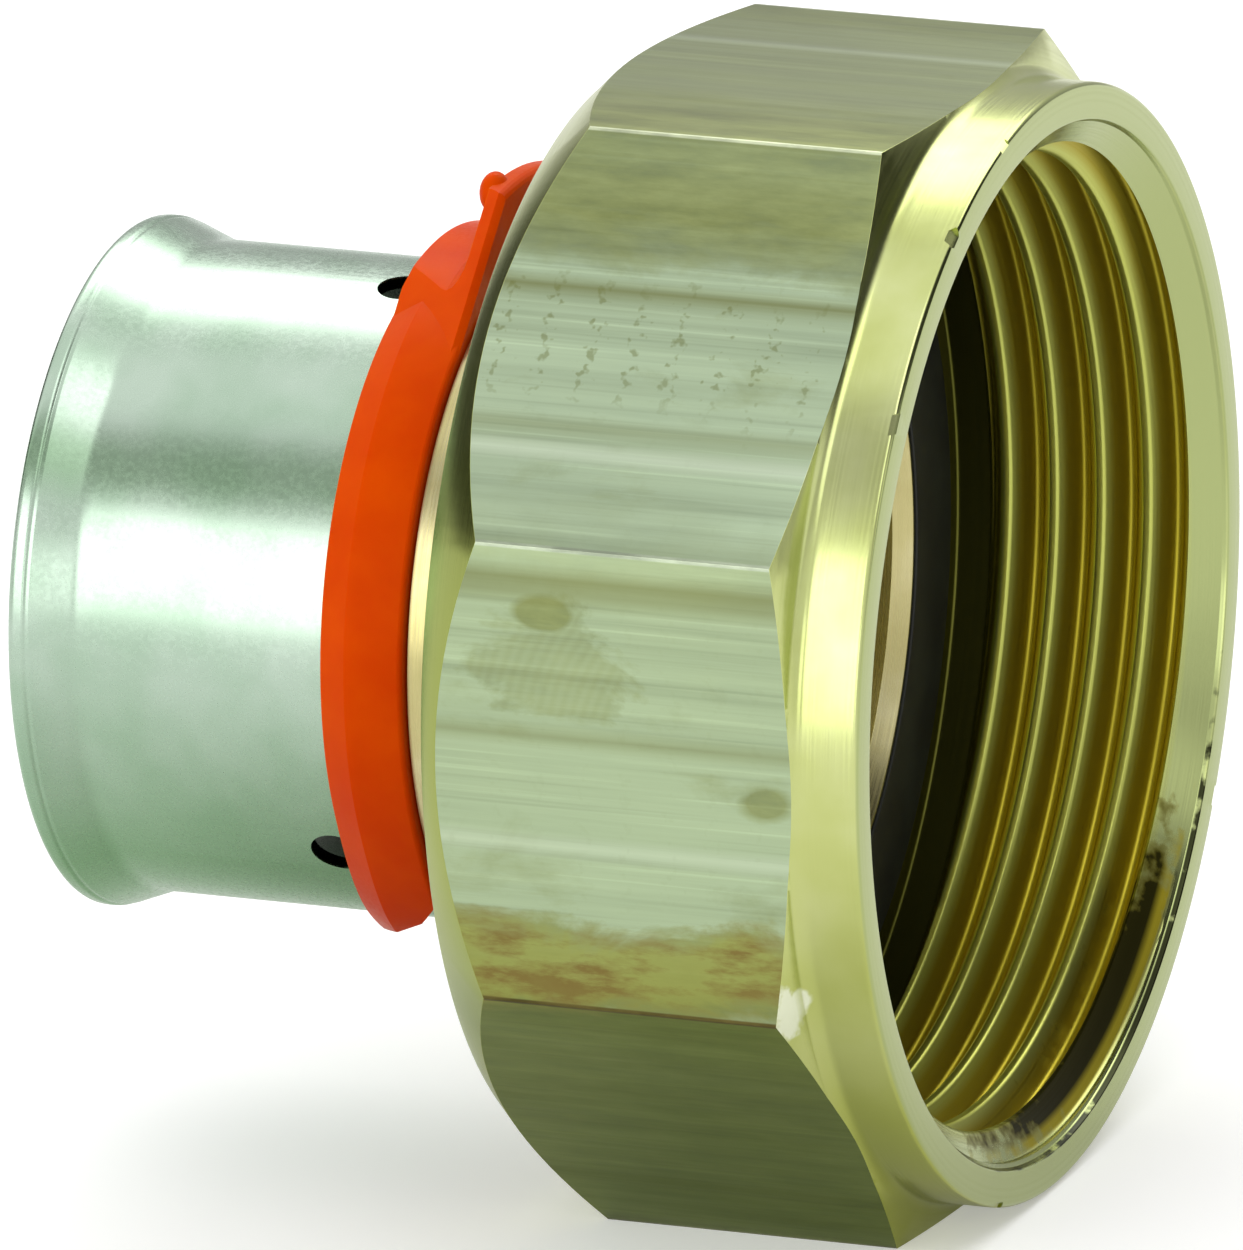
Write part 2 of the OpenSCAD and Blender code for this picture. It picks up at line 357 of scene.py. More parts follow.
def place_in_mm(tree):
    """Where the surface is: a point in millimetres, its X and its radius from the axis."""
    point = point_in_mm(tree)
    parts = node(tree, "SeparateXYZ", {0: point})
    across = node(tree, "CombineXYZ", {1: parts.outputs[1], 2: parts.outputs[2]})
    radius = node(tree, "VectorMath", {0: across}, operation="LENGTH")
    return point, parts.outputs[0], radius


def angle_round(tree):
    """The angle round the axis, in turns from +Y towards +Z."""
    place = node(tree, "TexCoord").outputs["Object"]
    parts = node(tree, "SeparateXYZ", {0: place})
    angle = node(tree, "Math", {0: parts.outputs[2], 1: parts.outputs[1]}, operation="ARCTAN2")
    turns = node(tree, "Math", {0: angle, 1: 0.5 / math.pi}, operation="MULTIPLY")
    return node(tree, "Math", {0: turns, 1: 1.0}, operation="FLOORED_MODULO")


def spot(tree, point, centre, reach, ragged, strength):
    """How much of a spot lies at a point: its centre and its reach each way are in millimetres."""
    off = node(tree, "VectorMath", {0: point, 1: centre}, operation="SUBTRACT")
    share = node(tree, "VectorMath", {0: off, 1: reach}, operation="DIVIDE")
    far = node(tree, "VectorMath", {0: share}, operation="LENGTH")
    edge = node(tree, "Math", {0: far, 1: ragged}, operation="ADD")
    return node(tree, "MapRange", {0: edge, 1: 1.2, 2: 0.75, 4: strength})


def layered(tree, base, *layers):
    """A colour with others laid over it in turn: each layer is its colour and its amount."""
    for shade, amount in layers:
        over = colour(shade) if isinstance(shade, str) else shade
        base = node(tree, "Mix", {0: amount, 6: base, 7: over}, data_type="RGBA")
    return base


def at_degrees(*stops):
    """Stops of a ramp that is read by the angle round the axis."""
    return [(degrees / 360, shade) for degrees, shade in stops]


def tool_rings(tree, x, radius, scale):
    """Marks of the lathe tool, which follow each other along the axis and along the radius."""
    feed = node(tree, "Math", {0: radius, 1: 0.73, 2: x}, operation="MULTIPLY_ADD")
    return node(tree, "TexNoise", {"W": feed, "Scale": scale, "Detail": 3.0},
                noise_dimensions="1D")


def make_drawn_brass():
    """Brass bar as it left the drawing die: grey-green skin with lines along the bar, olive and
    brown oxide beside the corners, water stains, small pits, and corners worn bright. Painted
    shade darkens the top flat, the lower flats and the lower corners, and pale lines paint
    highlights on scratches."""
    material, tree, shader = new_finish("drawn_brass_bar_skin", 1.0, 0.36)
    point, _, radius = place_in_mm(tree)
    angle = angle_round(tree)
    # Painted shade: each flat has its own colour for how it faces the light, the top flat darker
    # and the lower front and bottom flats darkest
    painted_flat_shade = node(tree, "ValToRGB", {0: angle}, stops=at_degrees(
        (0, "AEBE9A"), (22.5, "A6B68E"), (67.5, "98A17C"), (112.5, "B8CBAC"), (157.5, "AFC19C"),
        (202.5, "748440"), (247.5, "848F52"), (292.5, "A2B088"), (337.5, "AEBE9A")))
    painted_flat_shade.color_ramp.interpolation = "CONSTANT"
    # Drawing lines: broad ones are 1 to 4 mm wide and fine ones 0.3 mm, all longer than the nut
    along = node(tree, "Mapping", {"Vector": point, "Scale": (0.015, 0.5, 0.5)})
    broad = node(tree, "TexNoise",
                 {"Vector": along, "Scale": 1.0, "Detail": 6.0, "Roughness": 0.65})
    broad_shade = node(tree, "ValToRGB", {0: broad},
                       stops=[(0.3, 0.66), (0.45, 0.88), (0.58, 1.0), (0.72, 1.12)])
    thin = node(tree, "Mapping", {"Vector": point, "Scale": (0.03, 3.2, 3.2)})
    fine = node(tree, "TexNoise", {"Vector": thin, "Scale": 1.0, "Detail": 3.0})
    fine_shade = node(tree, "ValToRGB", {0: fine},
                      stops=[(0.3, 0.7), (0.45, 0.97), (0.6, 1.0), (0.7, 1.3)])
    toned = node(tree, "Mix", {0: 0.8, 6: painted_flat_shade, 7: broad_shade},
                 data_type="RGBA", blend_type="MULTIPLY")
    lined = node(tree, "Mix", {0: 0.5, 6: toned, 7: fine_shade},
                 data_type="RGBA", blend_type="MULTIPLY")
    # Oxide clouds of 3 to 8 mm, with ragged borders along the corners
    stretch = node(tree, "Mapping", {"Vector": point, "Scale": (0.12, 0.22, 0.22)})
    cloud = node(tree, "TexNoise", {"Vector": stretch, "Scale": 1.0, "Detail": 6.0,
                                    "Roughness": 0.62, "Distortion": 0.4})
    ragged = node(tree, "Math", {0: cloud, 1: -0.5}, operation="ADD")
    wandering = node(tree, "Math", {0: ragged, 1: 0.03, 2: angle}, operation="MULTIPLY_ADD")
    border = node(tree, "ValToRGB", {0: wandering}, stops=at_degrees(
        (0, 0.1), (66, 0.15), (69, 0.45), (75, 0.15), (98, 0.2), (105, 0.55), (112, 0.7),
        (121, 0.85), (126, 0.6), (128, 0.15), (152, 0.1), (157, 0.35), (160, 0.12), (194.4, 0.05),
        (195.6, 0.7), (202.3, 0.9), (204, 0.35), (244, 0.3), (249, 0.45), (255, 0.15),
        (289, 0.15), (292, 0.4), (297, 0.1)))
    clouds = node(tree, "MapRange", {0: cloud, 1: 0.52, 2: 0.7, 4: 0.35})
    # Water stains where the nut lay on its neighbours; the large one is faintly ribbed
    ribs = node(tree, "TexWave", {"Vector": point, "Scale": 0.6, "Distortion": 4.0,
                                  "Detail Scale": 0.3}, wave_type="RINGS", rings_direction="Y")
    ribbed = node(tree, "MapRange", {0: ribs.outputs["Fac"], 3: 0.38, 4: 0.45})
    loose = node(tree, "Math", {0: ragged, 1: 5.0}, operation="MULTIPLY")
    marks = [
        spot(tree, point, (-13.0, -26, 4.7), (4.8, 3, 2.2), loose, ribbed),
        spot(tree, point, (-13.3, -26, 7.65), (1.4, 3, 0.85), ragged, 0.75),
        spot(tree, point, (-2.7, -26, -0.25), (1.5, 3, 0.9), ragged, 0.7),
        spot(tree, point, (-9.0, 20, -16), (4.0, 4, 4), loose, ribbed),
        border, clouds,
    ]
    oxide = marks[0]
    for mark in marks[1:]:
        oxide = node(tree, "Math", {0: oxide, 1: mark}, operation="MAXIMUM")
    lengthwise = node(tree, "Mapping", {"Vector": point, "Scale": (0.3, 1.1, 1.1)})
    grain = node(tree, "TexNoise", {"Vector": lengthwise, "Scale": 0.7, "Detail": 6.0,
                                    "Roughness": 0.65})
    oxide_hue = node(tree, "ValToRGB", {0: grain},
                     stops=[(0.33, "686E38"), (0.5, "7B8142"), (0.67, "8B9152")])
    # Rust-brown crust right at the lower front corner, in a yellowed strip
    crust_zone = node(tree, "ValToRGB", {0: wandering}, stops=at_degrees(
        (0, 0.0), (194.5, 0.0), (196.5, 1.0), (200.9, 1.0), (201.8, 0.45), (202.4, 0.45),
        (202.6, 0.0)))
    flakes = node(tree, "MapRange", {0: grain, 1: 0.44, 2: 0.6, 4: 0.75})
    crust = node(tree, "Math", {0: crust_zone, 1: flakes}, operation="MULTIPLY")
    yellowed = node(tree, "Math", {0: crust_zone, 1: 0.6}, operation="MULTIPLY")
    # Scale lines that the die drew dark, and scratches with their highlights painted in as pale
    # lines, some right beside the dark ones
    dark_lines = node(tree, "ValToRGB", {0: angle}, stops=at_degrees(
        (0, 0.0), (105.2, 0.0), (105.8, 0.4), (106.4, 0.0), (128.9, 0.0), (129.3, 0.75),
        (130.1, 0.35), (131.2, 0.0), (144.4, 0.0), (145.1, 0.6), (145.8, 0.2), (147.0, 0.0),
        (158.9, 0.0), (159.5, 0.6), (161.5, 0.7), (162.2, 0.0), (175.4, 0.0), (175.8, 0.45),
        (176.2, 0.0)))
    scratch_highlights = node(tree, "ValToRGB", {0: angle}, stops=at_degrees(
        (0, 0.0), (80.0, 0.0), (80.3, 0.5), (80.6, 0.0), (128.1, 0.0), (128.5, 0.8), (128.9, 0.0),
        (147.3, 0.0), (147.7, 0.5), (148.1, 0.0), (168.9, 0.0), (169.2, 0.35), (169.5, 0.0),
        (174.8, 0.0), (175.1, 0.5), (175.4, 0.0), (177.4, 0.0), (177.6, 0.4), (177.8, 0.0),
        (186.9, 0.0), (187.1, 0.4), (187.3, 0.0), (188.8, 0.0), (189.0, 0.4), (189.2, 0.0)))
    # Specks 0.2 to 0.4 mm across, which stand in columns round the bar on one flat
    pit = node(tree, "TexNoise", {"Vector": point, "Scale": 2.6, "Detail": 1.5})
    columns = node(tree, "TexWave", {"Vector": point, "Scale": 0.15, "Distortion": 1.0})
    dense = node(tree, "MapRange", {0: columns.outputs["Fac"], 1: 0.4, 2: 1.0, 3: -0.1, 4: 0.08})
    thick = node(tree, "Math", {0: pit, 1: dense}, operation="ADD")
    pitted = node(tree, "MapRange", {0: thick, 1: 0.62, 2: 0.74, 4: 0.55})
    pit_zone = node(tree, "ValToRGB", {0: wandering}, stops=at_degrees(
        (0, 0.2), (60, 0.0), (128, 0.0), (131, 1.0), (140, 0.9), (144, 0.05), (190, 0.1),
        (203, 0.0), (250, 0.3)))
    pits = node(tree, "Math", {0: pitted, 1: pit_zone}, operation="MULTIPLY")
    # The corners of the octagon, 28.14 mm from the axis, are polished bright by handling, unevenly;
    # the lower corners are painted dark olive as painted shade
    corner_wear_and_shade = node(tree, "ValToRGB", {0: angle}, stops=at_degrees(
        (0, "C8D0B0"), (128, "D4DCB8"), (140, "C2CEB2"), (178, "C2CEB2"), (190, "6E6438"),
        (215, "6E6438"), (240, "8A8E60"), (300, "C8D0B0")))
    fretted = node(tree, "MapRange", {0: grain, 1: 0.4, 2: 0.6, 3: 0.6, 4: 1.0})
    worn_and_shaded = node(tree, "Mix", {0: 1.0, 6: corner_wear_and_shade, 7: fretted},
                     data_type="RGBA", blend_type="MULTIPLY")
    worn = node(tree, "MapRange", {0: radius, 1: 28.075, 2: 28.1})
    skin = layered(tree, lined, (oxide_hue, oxide), ("A0A450", yellowed), ("765A30", crust),
                   ("70733A", dark_lines), ("DCE8D0", scratch_highlights), ("72783F", pits),
                   (worn_and_shaded, worn))
    rough = node(tree, "MapRange", {0: broad, 1: 0.3, 2: 0.7, 3: 0.44, 4: 0.3})
    # The lines are scratches about 5 micrometres deep, drawn at 10 so that they show
    bump = node(tree, "Bump", {"Strength": 0.5, "Distance": 0.00001, "Height": fine})
    connect(tree, shader, {"Base Color": skin, "Roughness": rough, "Normal": bump})
    return material


def make_turned_brass():
    """Brass fresh from the lathe: bright yellow-green, with fine rings from the tool. Painted shade
    and reflected colour make the thread a deeper yellow; painted shade darkens the relief groove,
    the lower collar, the rear chamfer and the lower countersink, and a painted highlight sits at
    the lower front corner."""
    material, tree, shader = new_finish("turned_brass", 1.0, 0.2)
    point, x, radius = place_in_mm(tree)
    # Tool marks lie about 0.12 mm apart
    marks = tool_rings(tree, x, radius, 8.0)
    tint = node(tree, "TexNoise", {"Vector": point, "Scale": 0.16, "Detail": 4.0})
    bare = node(tree, "ValToRGB", {0: tint},
                stops=[(0.35, "C2CA7E"), (0.5, "CBD38C"), (0.65, "D4DB9C")])
    # Painted shade: the lower front of the collar is darker and yellower
    collar_shade_angles = node(tree, "ValToRGB", {0: angle_round(tree)}, stops=at_degrees(
        (0, 0.3), (40, 0.0), (165, 0.0), (205, 0.45), (235, 1.0), (265, 0.9), (320, 0.5)))
    outer = node(tree, "MapRange", {0: radius, 1: 24.9, 2: 25.3})
    collar_shade = node(tree, "Math", {0: collar_shade_angles, 1: outer}, operation="MULTIPLY")
    # The mouth face and the countersink are cut coarser, and look darker
    mouth_side = node(tree, "MapRange", {0: x, 1: mouth_x - 0.12, 2: mouth_x - 0.04})
    sunk = node(tree, "MapRange", {0: radius, 1: mouth_bore_r + 0.05, 2: mouth_bore_r})
    coarse = node(tree, "Math", {0: mouth_side, 1: sunk}, operation="MAXIMUM")
    # Painted shade and reflected colour: the thread is a deeper yellow, darkest in its roots
    inside = node(tree, "MapRange", {0: radius, 1: 24.6, 2: 24.2})
    behind = node(tree, "MapRange", {0: x, 1: 0.3, 2: -0.3})
    threaded = node(tree, "Math", {0: inside, 1: behind}, operation="MULTIPLY")
    root_shade = node(tree, "MapRange",
                     {0: radius, 1: thread_minor_r + 0.25, 2: thread_minor_r + 0.7})
    thread_shade_colour = layered(tree, colour("CACE6A"), ("BFB038", root_shade))
    # Painted shade: the relief groove behind the thread is dark olive
    deep = node(tree, "MapRange", {0: x, 1: relief_start_x - 0.2, 2: relief_start_x - 0.9})
    groove_shade = node(tree, "Math", {0: inside, 1: deep}, operation="MULTIPLY")
    # Painted shade: the rear chamfer is darker beside the shaded flats
    rear_shade_angles = node(tree, "ValToRGB", {0: angle_round(tree)}, stops=at_degrees(
        (0, 0.5), (110, 0.5), (138, 0.1), (150, 1.0), (209, 1.0), (217, 0.1), (360, 0.5)))
    rear = node(tree, "MapRange", {0: x, 1: shoulder_x + 0.6, 2: shoulder_x + 0.4})
    rear_shade = node(tree, "Math", {0: rear, 1: rear_shade_angles}, operation="MULTIPLY")
    # A painted highlight: a near-white patch at the lower front corner
    crumbs = node(tree, "TexNoise", {"Vector": point, "Scale": 0.9, "Detail": 4.0})
    rag = node(tree, "Math", {0: crumbs, 1: 3.0, 2: -1.5}, operation="MULTIPLY_ADD")
    painted_glint = spot(tree, point, (-1.9, -25.4, -10.3), (1.2, 1.4, 1.3), rag, 0.8)
    # Painted shade: near-black lies in the lower part of the countersink, with a golden edge, and
    # on the wall of the mouth's step
    frayed = node(tree, "Math", {0: rag, 1: 0.5}, operation="MULTIPLY")
    pool = spot(tree, point, (0.5, 8.5, -20.5), (1.8, 13.5, 7.0), frayed, 0.95)
    sunken = node(tree, "MapRange", {0: radius, 1: 23.9, 2: 23.75})
    gilt = node(tree, "Math", {0: pool, 1: sunken}, operation="MULTIPLY")
    narrow = node(tree, "MapRange", {0: radius, 1: 23.5, 2: 23.2})
    pool_shade = node(tree, "Math", {0: pool, 1: narrow}, operation="MULTIPLY")
    rim_pool = spot(tree, point, (mouth_x, 12.0, -20.5), (2.5, 16.0, 10.0), rag, 0.95)
    step = node(tree, "MapRange", {0: x, 1: mouth_x - 0.27, 2: mouth_x - 0.22})
    wall = node(tree, "MapRange", {0: radius, 1: mouth_bore_r + 0.12, 2: mouth_bore_r + 0.08})
    on_wall = node(tree, "Math", {0: step, 1: wall}, operation="MULTIPLY")
    step_shade = node(tree, "Math", {0: rim_pool, 1: on_wall}, operation="MULTIPLY")
    mouth_shade = node(tree, "Math", {0: pool_shade, 1: step_shade}, operation="MAXIMUM")
    metal = layered(tree, bare, ("A9AE48", collar_shade), ("AFB97C", coarse), (thread_shade_colour, threaded),
                    ("6C6C30", groove_shade), ("9EA854", rear_shade), ("F0F4DC", painted_glint),
                    ("B8A828", gilt), ("14160A", mouth_shade))
    # The golden edge in the countersink and the thread blur what they mirror
    rough = node(tree, "MapRange", {0: marks, 1: 0.3, 2: 0.7, 3: 0.16, 4: 0.26})
    edge_rough = node(tree, "Math", {0: gilt, 1: 0.3, 2: rough}, operation="MULTIPLY_ADD")
    blurred = node(tree, "Math", {0: threaded, 1: 0.17, 2: edge_rough}, operation="MULTIPLY_ADD")
    bump = node(tree, "Bump", {"Strength": 0.4, "Distance": 0.000004, "Height": marks})
    connect(tree, shader, {"Base Color": metal, "Roughness": blurred, "Normal": bump})
    return material


def make_bronze():
    """Turned bronze: a tan metal, a little pink beside the brass, with tool rings."""
    material, tree, shader = new_finish("turned_bronze", 1.0, 0.25)
    point, x, radius = place_in_mm(tree)
    marks = tool_rings(tree, x, radius, 7.0)
    tint = node(tree, "TexNoise", {"Vector": point, "Scale": 0.2, "Detail": 4.0})
    tan = node(tree, "ValToRGB", {0: tint},
               stops=[(0.35, "BFB57C"), (0.5, "C8BE86"), (0.65, "D4CB9A")])
    # Painted shade: the nipple inside the sleeve is near-black, also where the windows show it
    hidden = node(tree, "MapRange", {0: x, 1: sleeve_x - 0.4, 2: sleeve_x - 0.8})
    shaded_inside = layered(tree, tan, ("2A261A", hidden))
    rough = node(tree, "MapRange", {0: marks, 1: 0.3, 2: 0.7, 3: 0.2, 4: 0.34})
    bump = node(tree, "Bump", {"Strength": 0.4, "Distance": 0.000005, "Height": marks})
    connect(tree, shader, {"Base Color": shaded_inside, "Roughness": rough, "Normal": bump})
    return material


def make_stainless():
    """Deep-drawn stainless sheet: a satin grey that blurs what it mirrors, with a fine orange peel
    where the sheet was stretched."""
    material, tree, shader = new_finish("satin_stainless_sheet", 1.0, 0.22)
    point, x, radius = place_in_mm(tree)
    # Orange peel has grains of about 0.25 mm
    peel = node(tree, "TexNoise",
                {"Vector": point, "Scale": 4.0, "Detail": 3.0, "Roughness": 0.6})
    wave = node(tree, "TexNoise", {"Vector": point, "Scale": 0.25, "Detail": 2.0})
    grey = node(tree, "ValToRGB", {0: wave}, stops=[(0.35, "ADC5AF"), (0.65, "BDD0BF")])
    # Painted shade: greener and darker on the lower side, and a painted reflection of a dark band
    # along one stripe
    shade_and_band = node(tree, "ValToRGB", {0: angle_round(tree)}, stops=at_degrees(
        (0, 0.3), (50, 0.0), (138, 0.0), (144, 0.5), (148, 0.5), (154, 0.0), (175, 0.0),
        (200, 0.4), (225, 0.9), (260, 1.0), (320, 0.5)))
    # Painted shade: the inside and the walls of the windows are dark
    below = node(tree, "MapRange", {0: radius, 1: sleeve_r - 0.05, 2: sleeve_r - 0.12})
    within = node(tree, "MapRange", {0: x, 1: sleeve_mouth_x + 3.5, 2: sleeve_mouth_x + 6.5})
    shaded = node(tree, "Math", {0: within, 1: below}, operation="MULTIPLY")
    steel = layered(tree, grey, ("7AA274", shade_and_band), ("20231C", shaded))
    rough = node(tree, "MapRange", {0: peel, 1: 0.3, 2: 0.7, 3: 0.2, 4: 0.32})
    bump = node(tree, "Bump", {"Strength": 0.07, "Distance": 0.00001, "Height": peel})
    connect(tree, shader, {"Base Color": steel, "Roughness": rough, "Normal": bump})
    return material


def make_rubber():
    """Moulded rubber: black, with a faint bloom that greys it in patches."""
    material, tree, shader = new_finish("moulded_black_rubber", 0.0, 0.55)
    point = point_in_mm(tree)
    bloom = node(tree, "TexNoise", {"Vector": point, "Scale": 0.4, "Detail": 5.0})
    black = node(tree, "ValToRGB", {0: bloom}, stops=[(0.4, "0E100C"), (0.7, "1D2119")])
    grain = node(tree, "TexNoise", {"Vector": point, "Scale": 6.0, "Detail": 2.0})
    bump = node(tree, "Bump", {"Strength": 0.3, "Distance": 0.00002, "Height": grain})
    connect(tree, shader, {"Base Color": black, "Normal": bump})
    return material


def make_orange():
    """Injection-moulded plastic: an orange that light enters and warms, darker red towards the
    bottom as painted shade, with the fine spark texture of the mould."""
    material, tree, shader = new_finish("moulded_orange_plastic", 0.0, 0.33)
    connect(tree, shader, {
        "Specular IOR Level": 0.05, "Specular Tint": (1.0, 0.45, 0.2, 1.0),
        "Subsurface Weight": 0.35, "Subsurface Radius": (1.0, 0.3, 0.05),
        "Subsurface Scale": 0.0012})
    point = point_in_mm(tree)
    flow = node(tree, "TexNoise", {"Vector": point, "Scale": 0.3, "Detail": 3.0})
    orange = node(tree, "ValToRGB", {0: flow}, stops=[(0.35, "D04000"), (0.65, "D84A00")])
    # Painted shade: darker red towards the bottom
    lower = node(tree, "ValToRGB", {0: angle_round(tree)}, stops=at_degrees(
        (0, 0.0), (170, 0.0), (205, 0.3), (225, 0.5), (300, 0.5), (345, 0.0)))
    shaded_orange = layered(tree, orange, ("A02000", lower))
    spark = node(tree, "TexNoise", {"Vector": point, "Scale": 5.0, "Detail": 2.0})
    rough = node(tree, "MapRange", {0: spark, 1: 0.3, 2: 0.7, 3: 0.28, 4: 0.4})
    bump = node(tree, "Bump", {"Strength": 0.3, "Distance": 0.00001, "Height": spark})
    connect(tree, shader, {"Base Color": shaded_orange, "Roughness": rough, "Normal": bump})
    return material


# ---------------------------------------------------------------- union nut

def thread_tap():
    """A male thread with rounded crests and roots, to cut the nut with. Its start lies in the
    relief groove, and its end is outside the mouth."""
    first_root_x = -12.2
    turns = 7
    arc = [math.radians((90 - thread_half_angle) * i / 4) for i in range(5)]
    bend = [(thread_rounding * math.sin(a), thread_rounding * (1 - math.cos(a))) for a in arc]
    root = [(x, thread_minor_r + rise) for x, rise in bend]
    crest = [(thread_pitch / 2 - x, thread_major_r - drop) for x, drop in reversed(bend)]
    near = root + crest
    far = [(thread_pitch - x, r) for x, r in reversed(near[:-1])]
    angle = 360 * ((first_root_x - thread_phase_x) / thread_pitch % 1)
    tap = draw("thread_tap", [(first_root_x + x, r) for x, r in near + far], angle, closed=False)
    apply(tap, "SCREW", axis="X", angle=2 * math.pi, screw_offset=thread_pitch * MM,
          iterations=turns, steps=STEPS, render_steps=STEPS, use_merge_vertices=True,
          merge_threshold=0.001 * MM, use_smooth_shade=False)
    close_ends(tap)
    return tap


def close_ends(piece):
    """Closes each open end of a tube with one face."""
    pick(piece)
    bpy.ops.object.mode_set(mode="EDIT")
    mesh = bmesh.from_edit_mesh(piece.data)
    loops = [edge for edge in mesh.edges if edge.is_boundary]
    middle = sum(edge.verts[0].co.x for edge in loops) / len(loops)
    for low_end in (True, False):
        bpy.ops.mesh.select_all(action="DESELECT")
        mesh = bmesh.from_edit_mesh(piece.data)
        for edge in mesh.edges:
            if edge.is_boundary and (edge.verts[0].co.x < middle) == low_end:
                edge.select = True
        bmesh.update_edit_mesh(piece.data)
        bpy.ops.mesh.edge_face_add()
    bpy.ops.object.mode_set(mode="OBJECT")
    clean(piece)


def on_flat(face):
    """Says whether a face lies on one of the octagon's flats."""
    return abs(face.normal.x) < 0.001 and face.normal.dot(face.verts[0].co) > (flat_r - 0.01) * MM


def make_union_nut():
    """The nut: a turned body with a 45-degree cone behind and a steeper one in front, sawn to an
    octagon, so that the arcs of its flats are where the cones meet them."""
    slope = math.tan(math.radians(20))
    corner_r = flat_r / math.cos(math.radians(22.5))
    bar_r = corner_r + 0.5
    rear_r = flat_r - 1.1
    hole_r = spigot_r + 0.3
    bore_r = thread_minor_r + 0.03
    nut = turn("union_nut_body", soft([
        (rear_x, hole_r, 0.2),
        (rear_x, rear_r, 0.15),
        (rear_x + bar_r - rear_r, bar_r),
        (collar_foot_x - (bar_r - collar_r) * slope, bar_r),
        (collar_foot_x, collar_r, 0.8),
        (mouth_x, collar_r, 0.25),
        (mouth_x, mouth_bore_r + 0.06, 0.08),
        (mouth_x - mouth_bore_depth, mouth_bore_r - 0.05, 0.08),
        (0, bore_r),
        (relief_start_x, bore_r),
        (relief_start_x - relief_slope_x, relief_r, 0.2),
        (relief_end_x + relief_slope_x, relief_r, 0.2),
        (relief_end_x, bore_r, 0.1),
        (shoulder_x, bore_r, 0.2),
        (shoulder_x, hole_r, 0.15),
    ]))
    for angle in range(0, 360, 45):
        cut(nut, radial(angle, flat_r), radial(angle))
    # The cones' arcs and the octagon's corners are eased
    ease_edges(nut, eased, lambda one, other, middle: on_flat(one) != on_flat(other)
               and (middle.x < shoulder_x or middle.yz.length > flat_r + 0.3)
               or on_flat(one) and on_flat(other) and one.normal.dot(other.normal) < 0.9)
    # Nicks in the arris of the mouth
    for angle, depth in ((102, 0.12), (118, 0.2), (141, 0.14), (252, 0.15), (328, 0.2)):
        mill(nut, radial(angle, collar_r - depth, mouth_x - depth), radial(angle, 1.0, 0.9), 0.9)
    combine(nut, thread_tap(), "DIFFERENCE")
    nut.data.materials.append(make_turned_brass())
    nut.data.materials.append(make_drawn_brass())
    for face in nut.data.polygons:
        if abs(face.normal.x) < 0.01 and face.normal.dot(face.center) > (flat_r - 0.05) * MM:
            face.material_index = 1
    smooth(nut)
    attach(nut, "nut")
    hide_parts("union_nut")


# ---------------------------------------------------------------- gasket

def make_gasket():
    """The washer at the bottom of the nut, round the tailpiece's nose."""
    washer = turn("flat_gasket", soft([
        (gasket_back_x, gasket_hole_r, 0.1),
        (gasket_back_x, gasket_r, 0.15),
        (seal_x, gasket_r, 0.15),
        (seal_x, gasket_hole_r, 0.1),
    ]))
    washer.data.materials.append(make_rubber())
    smooth(washer)
    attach(washer, "gasket")
    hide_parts("gasket")


# ---------------------------------------------------------------- tailpiece

def make_tailpiece():
    """The body: ribbed nipple, tube stop, groove for the sleeve's lip, flange, spigot, collar and
    nose, with the waterway through it."""
    ribs = []
    for i in range(5):
        x = nipple_x + first_rib + rib_pitch * i
        ribs += [(x - rib_pitch / 2, nipple_r), (x, rib_r, 0.05), (x + 0.02, nipple_r)]
    body = turn("tailpiece_body", soft([
        (nipple_x, waterway_r, 0.2),
        (nipple_x, nipple_r - 0.6),
        (nipple_x + 0.6, nipple_r, 0.2),
        *ribs,
        (stop_x, nipple_r, 0.1),
        (stop_x, stop_r, 0.1),
        (groove_back_x, stop_r, 0.1),
        (groove_back_x, groove_r, 0.1),
        (groove_front_x, groove_r, 0.1),
        (groove_front_x, land_r, 0.1),
        (flange_x, land_r, 0.1),
        (flange_x, spigot_r, 0.05),
        (collar_back_x, spigot_r, 0.2),
        (collar_back_x, union_collar_r, 0.3),
        (collar_front_x, union_collar_r, 0.3),
        (collar_front_x, nose_r, 0.05),
        (nose_x, nose_r, 0.1),
        (nose_x, nose_bore_r + 0.75, 0.05),
        (nose_x - 0.75, nose_bore_r, 0.1),
        (nose_x - 2.8, nose_bore_r, 0.3),
        (nose_x - 7.1, waterway_r, 1.0),
    ]))
    body.data.materials.append(make_bronze())
    smooth(body)
    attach(body, "tailpiece")
    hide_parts("tailpiece")


# ---------------------------------------------------------------- press sleeve

def make_sleeve():
    """The drawn shell: flared and rolled mouth, three windows, and a lip turned into the groove."""
    bore_r = sleeve_r - sleeve_t
    shell = turn("press_sleeve_shell", soft([
        (sleeve_mouth_x + 3.1, bore_r, 1.5),
        (sleeve_mouth_x + 0.9, flare_r - 0.75, 0.4),
        (sleeve_mouth_x, flare_r - 0.7, 0.2),
        (sleeve_mouth_x, flare_r, 0.4),
        (sleeve_mouth_x + 0.75, flare_r, 0.3),
        (sleeve_mouth_x + 0.9, flare_r - 0.1, 0.1),
        (sleeve_mouth_x + 1.05, flare_r - 0.1, 0.25),
        (sleeve_mouth_x + 3.1, sleeve_r, 2.0),
        (sleeve_x, sleeve_r, 0.5),
        (sleeve_x, lip_r, 0.1),
        (sleeve_x - sleeve_t, lip_r, 0.1),
        (sleeve_x - sleeve_t, bore_r, 0.2),
    ]))
    for angle in window_angles:
        deselect()
        bpy.ops.mesh.primitive_cylinder_add(
            vertices=48, radius=window_r * MM, depth=4 * MM,
            location=radial(angle, sleeve_r, window_x) * MM,
            rotation=(math.radians(angle - 90), 0, 0))
        combine(shell, bpy.context.object, "DIFFERENCE")
    shell.data.materials.append(make_stainless())
    smooth(shell)
    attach(shell, "press_sleeve")
    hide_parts("press_sleeve")


# ---------------------------------------------------------------- control ring

